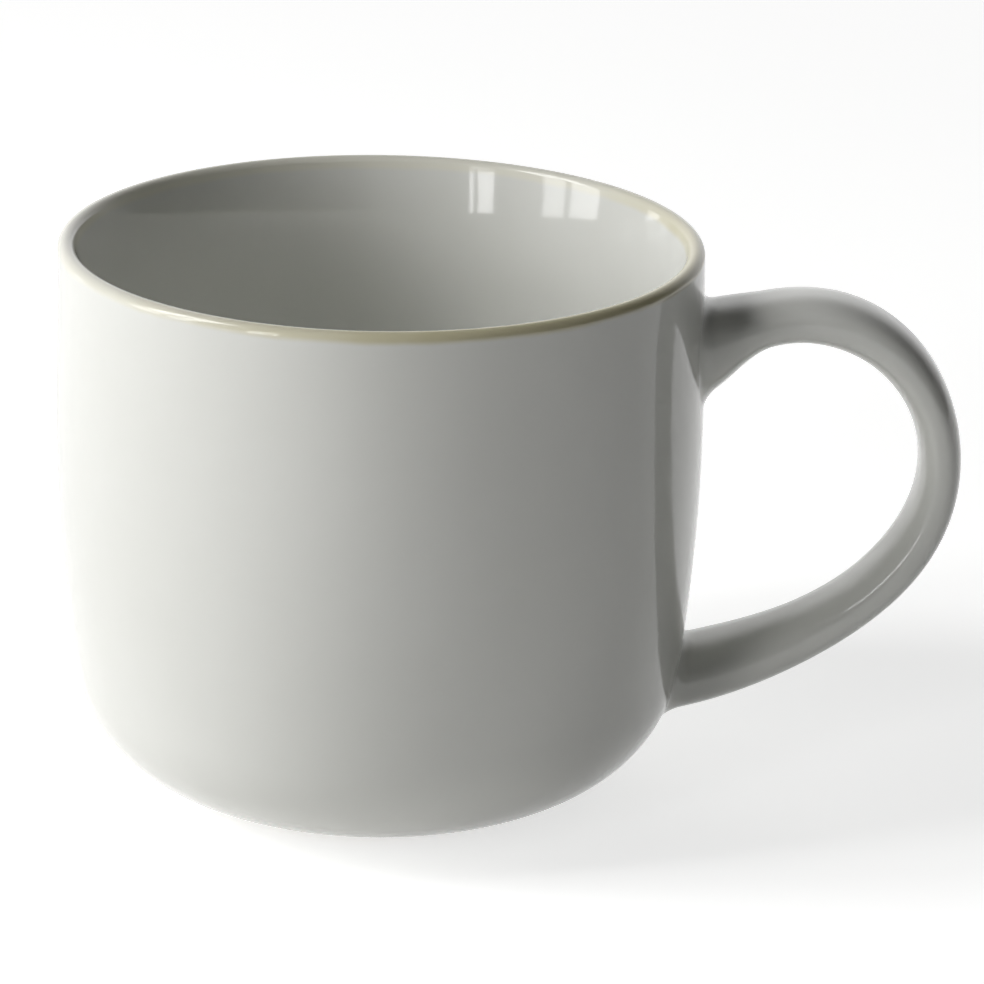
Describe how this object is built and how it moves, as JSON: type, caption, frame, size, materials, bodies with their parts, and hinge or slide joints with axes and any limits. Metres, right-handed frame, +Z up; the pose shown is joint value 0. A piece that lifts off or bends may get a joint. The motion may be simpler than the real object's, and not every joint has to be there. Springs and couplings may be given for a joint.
{
  "type": "soup mug",
  "caption": "Wide rounded stoneware soup mug with a luted strap handle, white glaze inside and out, a buff lip and a bare foot ring.",
  "frame": {"origin": "on the vessel's axis, in the plane that the foot ring stands on", "axes": "+Z up along the vessel's axis, +X from the axis towards the handle"},
  "size_m": [0.1567, 0.1118, 0.0975],
  "materials": {
    "clay": "bare fired stoneware, fine grained and matt",
    "slip": "fired slip, matt",
    "white_glaze": "glossy off-white glaze",
    "buff_glaze": "glossy glaze broken to buff over the lip"
  },
  "bodies": {
    "root": {"body": "clay", "handle": "clay", "upper_slip": "slip", "lower_slip": "slip", "outer_glaze": "white_glaze", "inner_glaze": "white_glaze", "rim_glaze": "buff_glaze", "handle_glaze": "white_glaze", "base_glaze": "white_glaze"}
  },
  "joints": []
}
